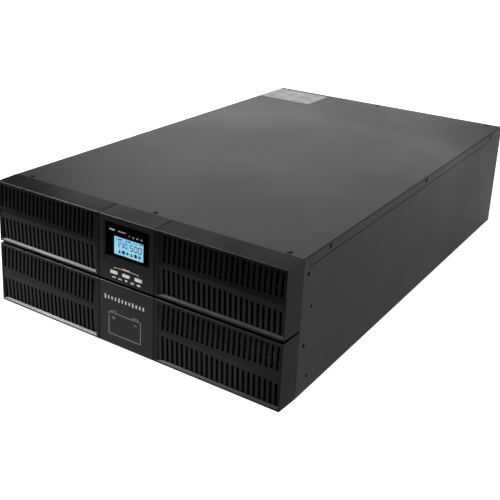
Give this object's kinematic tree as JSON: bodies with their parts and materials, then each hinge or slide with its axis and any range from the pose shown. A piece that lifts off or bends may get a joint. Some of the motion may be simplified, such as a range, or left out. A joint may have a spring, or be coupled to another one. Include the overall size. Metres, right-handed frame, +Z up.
{
  "type": "uninterruptible power supply",
  "caption": "Low, deep metal cabinet with slotted front bezels, a square display panel with push buttons, a sliding battery drawer below and fans, terminals and sockets behind.",
  "frame": {"origin": "bottom centre of the whole object, on the surface it stands on", "axes": "+Z up, -Y towards the front (display side), +X to the right when facing the front"},
  "size_m": [0.44, 0.767, 0.173],
  "materials": {
    "dark_powder_coat": "fine-textured dark grey powder coat",
    "bezel_plastic": "fine-grain black moulding",
    "panel_plastic": "fine-grain black moulding",
    "smoked_lens": "polished smoked window",
    "lit_display": "lit pale blue display",
    "white_plastic": "diffusing white",
    "button_plastic": "satin light grey",
    "black_screw": "black oxide",
    "bright_steel": "nickel plated",
    "zinc_steel": "zinc-plated sheet",
    "black_plastic": "moulded",
    "grey_plastic": "moulded",
    "green_plastic": "moulded",
    "brass_metal": "machined",
    "circuit_board": "solder mask",
    "heatsink_aluminium": "extruded",
    "capacitor_sleeve": "shrink sleeve",
    "copper_winding": "enamelled copper",
    "battery_case": "moulded case",
    "label_paper": "satin printed film"
  },
  "bodies": {
    "chassis": {"chassis_tray": "dark_powder_coat", "top_cover": "dark_powder_coat", "cover_screws": "black_screw", "top_label": "label_paper", "upper_front_panel": "zinc_steel", "divider_shelf": "zinc_steel", "rear_panel": "dark_powder_coat", "fan_frames": "black_plastic", "fan_guards": "bright_steel", "rear_screws": "bright_steel", "terminal_block": "black_plastic", "terminal_cover": "dark_powder_coat", "option_slot_cover": "dark_powder_coat", "data_ports": "bright_steel", "emergency_off_terminal": "green_plastic", "output_sockets": "black_plastic", "external_battery_port": "grey_plastic", "ground_stud": "brass_metal", "input_breaker": "black_plastic", "power_board": "circuit_board", "control_board": "circuit_board", "board_standoffs": "brass_metal", "heatsinks": "heatsink_aluminium", "power_transistors": "black_plastic", "bus_capacitors": "capacitor_sleeve", "filter_inductors": "copper_winding", "bypass_relays": "black_plastic", "line_filter": "zinc_steel", "drawer_runners": "grey_plastic", "battery_socket": "grey_plastic"},
    "upper_bezel": {"upper_bezel": "bezel_plastic", "upper_bezel_shell": "bezel_plastic", "upper_grilles": "bezel_plastic", "upper_bezel_studs": "zinc_steel"},
    "display_module": {"display_housing": "panel_plastic", "display_lens": "smoked_lens", "lcd_glass": "lit_display", "lcd_backlight": "white_plastic", "display_board": "circuit_board", "status_light_pipes": "white_plastic", "display_back_cover": "bezel_plastic"},
    "button_left": {"button_left": "button_plastic"},
    "button_middle": {"button_middle": "button_plastic"},
    "button_right": {"button_right": "button_plastic"},
    "battery_drawer": {"drawer_tray": "zinc_steel", "drawer_front": "zinc_steel", "drawer_screws": "bright_steel", "drawer_handle": "black_plastic", "battery_blocks": "battery_case", "battery_links": "copper_winding", "battery_clamp_bars": "zinc_steel", "battery_plug": "grey_plastic"},
    "lower_bezel": {"lower_bezel": "bezel_plastic", "lower_bezel_shell": "bezel_plastic", "lower_grilles": "bezel_plastic", "lower_centre_panel": "panel_plastic", "lower_bezel_studs": "zinc_steel"},
    "fan_rotor_left": {"fan_rotor_left": "black_plastic"},
    "fan_rotor_right": {"fan_rotor_right": "black_plastic"},
    "breaker_toggle": {"breaker_toggle": "grey_plastic"}
  },
  "joints": [
    {"name": "upper_bezel_pull", "type": "slide", "parent": "chassis", "child": "upper_bezel", "axis": [0, -1, 0], "range_m": [0, 0.06]},
    {"name": "display_pull", "type": "slide", "parent": "upper_bezel", "child": "display_module", "axis": [0, -1, 0], "range_m": [0, 0.03]},
    {"name": "button_left_press", "type": "slide", "parent": "display_module", "child": "button_left", "axis": [0, 1, 0], "range_m": [0, 0.0008], "stiffness_N_per_m": 400},
    {"name": "button_middle_press", "type": "slide", "parent": "display_module", "child": "button_middle", "axis": [0, 1, 0], "range_m": [0, 0.0008], "stiffness_N_per_m": 400},
    {"name": "button_right_press", "type": "slide", "parent": "display_module", "child": "button_right", "axis": [0, 1, 0], "range_m": [0, 0.0008], "stiffness_N_per_m": 400},
    {"name": "battery_drawer_slide", "type": "slide", "parent": "chassis", "child": "battery_drawer", "axis": [0, -1, 0], "range_m": [0, 0.58]},
    {"name": "lower_bezel_pull", "type": "slide", "parent": "battery_drawer", "child": "lower_bezel", "axis": [0, -1, 0], "range_m": [0, 0.06]},
    {"name": "fan_left_spin", "type": "hinge", "parent": "chassis", "child": "fan_rotor_left", "pos_m": [-0.168, 0.3435, 0.1268], "axis": [0, 1, 0], "continuous": true},
    {"name": "fan_right_spin", "type": "hinge", "parent": "chassis", "child": "fan_rotor_right", "pos_m": [-0.08, 0.3435, 0.1268], "axis": [0, 1, 0], "continuous": true},
    {"name": "breaker_switch", "type": "hinge", "parent": "chassis", "child": "breaker_toggle", "pos_m": [0.17, 0.358, 0.047], "axis": [1, 0, 0], "range_deg": [-56, 0]}
  ]
}
